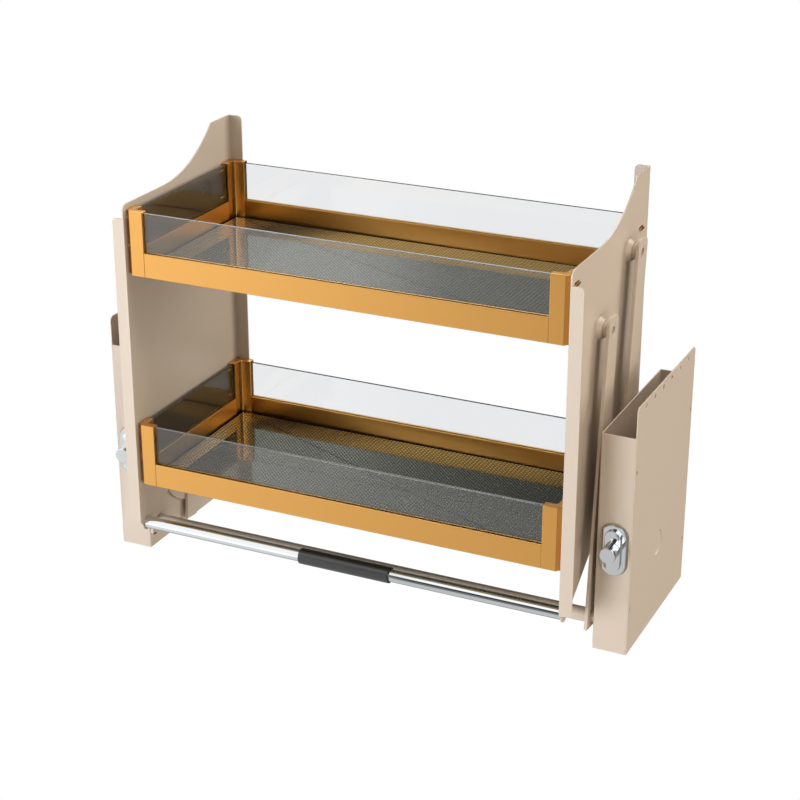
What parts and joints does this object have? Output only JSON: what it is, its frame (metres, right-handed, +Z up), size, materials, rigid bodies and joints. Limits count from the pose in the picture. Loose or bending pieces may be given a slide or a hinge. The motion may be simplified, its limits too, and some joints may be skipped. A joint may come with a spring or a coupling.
{
  "type": "pull-down shelf basket",
  "caption": "Pull-down cabinet basket: glass-sided shelves on side plates swing forward and down on parallel links, balanced by adjustable springs in side housings.",
  "frame": {"origin": "middle of the footprint, at the height of the housings' undersides", "axes": "+X across the cabinet to the user's right, +Y towards the rear of the cabinet, +Z up"},
  "size_m": [0.714, 0.278, 0.5485],
  "materials": {
    "powder_coat": "satin powder coat, warm beige",
    "gold_frame": "satin gold anodised",
    "clear_glass": "polished float glass",
    "smoked_glass": "polished smoked glass",
    "patterned_panel": "gloss panel with a fine woven dot pattern",
    "chrome": "polished",
    "grip_rubber": "fine grained, matt",
    "zinc_steel": "zinc plated",
    "bronze": "sintered bronze, dull",
    "spring_steel": "oiled spring steel"
  },
  "bodies": {
    "root": {"housing_left": "powder_coat", "housing_right": "powder_coat", "mount_plate_left": "powder_coat", "mount_plate_right": "powder_coat", "escutcheon_left": "chrome", "escutcheon_right": "chrome", "front_pivot_pins": "powder_coat", "shaft_bushes": "bronze", "spindle_brackets": "zinc_steel", "torsion_springs": "spring_steel", "housing_rivets": "zinc_steel"},
    "front_arms": {"front_arm_left": "powder_coat", "front_arm_right": "powder_coat", "sync_tube": "powder_coat"},
    "rear_arms": {"rear_arm_left": "powder_coat", "rear_arm_right": "powder_coat", "crank_disc_left": "powder_coat", "crank_disc_right": "powder_coat", "pivot_shaft_left": "zinc_steel", "pivot_shaft_right": "zinc_steel"},
    "knob_left": {"knob_left": "chrome", "worm_spindle_left": "zinc_steel"},
    "knob_right": {"knob_right": "chrome", "worm_spindle_right": "zinc_steel"},
    "preload_wheel_left": {"preload_wheel_left": "bronze"},
    "preload_wheel_right": {"preload_wheel_right": "bronze"},
    "carrier": {"bar_screws": "zinc_steel", "handle_bar": "chrome", "handle_grip": "grip_rubber", "lower_floor": "patterned_panel", "lower_glass_front": "clear_glass", "lower_glass_left": "smoked_glass", "lower_glass_rear": "clear_glass", "lower_glass_right": "smoked_glass", "lower_post_front_left": "gold_frame", "lower_post_front_right": "gold_frame", "lower_post_rear_left": "gold_frame", "lower_post_rear_right": "gold_frame", "lower_rail_front": "gold_frame", "lower_rail_left": "gold_frame", "lower_rail_rear": "gold_frame", "lower_rail_right": "gold_frame", "pivot_rivets": "powder_coat", "pivot_spacers": "powder_coat", "shelf_hooks": "gold_frame", "side_plate_left": "powder_coat", "side_plate_right": "powder_coat", "upper_floor": "patterned_panel", "upper_glass_front": "clear_glass", "upper_glass_left": "smoked_glass", "upper_glass_rear": "clear_glass", "upper_glass_right": "smoked_glass", "upper_post_front_left": "gold_frame", "upper_post_front_right": "gold_frame", "upper_post_rear_left": "gold_frame", "upper_post_rear_right": "gold_frame", "upper_rail_front": "gold_frame", "upper_rail_left": "gold_frame", "upper_rail_rear": "gold_frame", "upper_rail_right": "gold_frame"}
  },
  "joints": [
    {"name": "pull_down", "type": "hinge", "parent": "root", "child": "front_arms", "pos_m": [0, -0.0719, 0.038], "axis": [1, 0, 0], "range_deg": [0, 105], "stiffness_Nm_per_rad": 26},
    {"name": "carrier_level", "type": "hinge", "parent": "front_arms", "child": "carrier", "pos_m": [0, -0.03806, 0.396], "axis": [1, 0, 0], "range_deg": [-105, 0]},
    {"name": "rear_follow", "type": "hinge", "parent": "root", "child": "rear_arms", "pos_m": [0, 0.0236, 0.1044], "axis": [1, 0, 0], "range_deg": [0, 105]},
    {"name": "knob_left_turn", "type": "hinge", "parent": "root", "child": "knob_left", "pos_m": [-0.3352, -0.082, 0.1405], "axis": [0, 1, 0], "range_deg": [-1800, 0]},
    {"name": "knob_right_turn", "type": "hinge", "parent": "root", "child": "knob_right", "pos_m": [0.3352, -0.082, 0.1405], "axis": [0, 1, 0], "range_deg": [0, 1800]},
    {"name": "preload_left", "type": "hinge", "parent": "root", "child": "preload_wheel_left", "pos_m": [-0.3352, 0.0236, 0.1044], "axis": [1, 0, 0], "range_deg": [0, 60]},
    {"name": "preload_right", "type": "hinge", "parent": "root", "child": "preload_wheel_right", "pos_m": [0.3352, 0.0236, 0.1044], "axis": [1, 0, 0], "range_deg": [0, 60]}
  ],
  "couplings": [
    {"joint": "carrier_level", "follows": "pull_down", "ratio": -1},
    {"joint": "rear_follow", "follows": "pull_down", "ratio": 1},
    {"joint": "preload_left", "follows": "knob_left_turn", "ratio": -0.033333},
    {"joint": "preload_right", "follows": "knob_right_turn", "ratio": 0.033333}
  ]
}
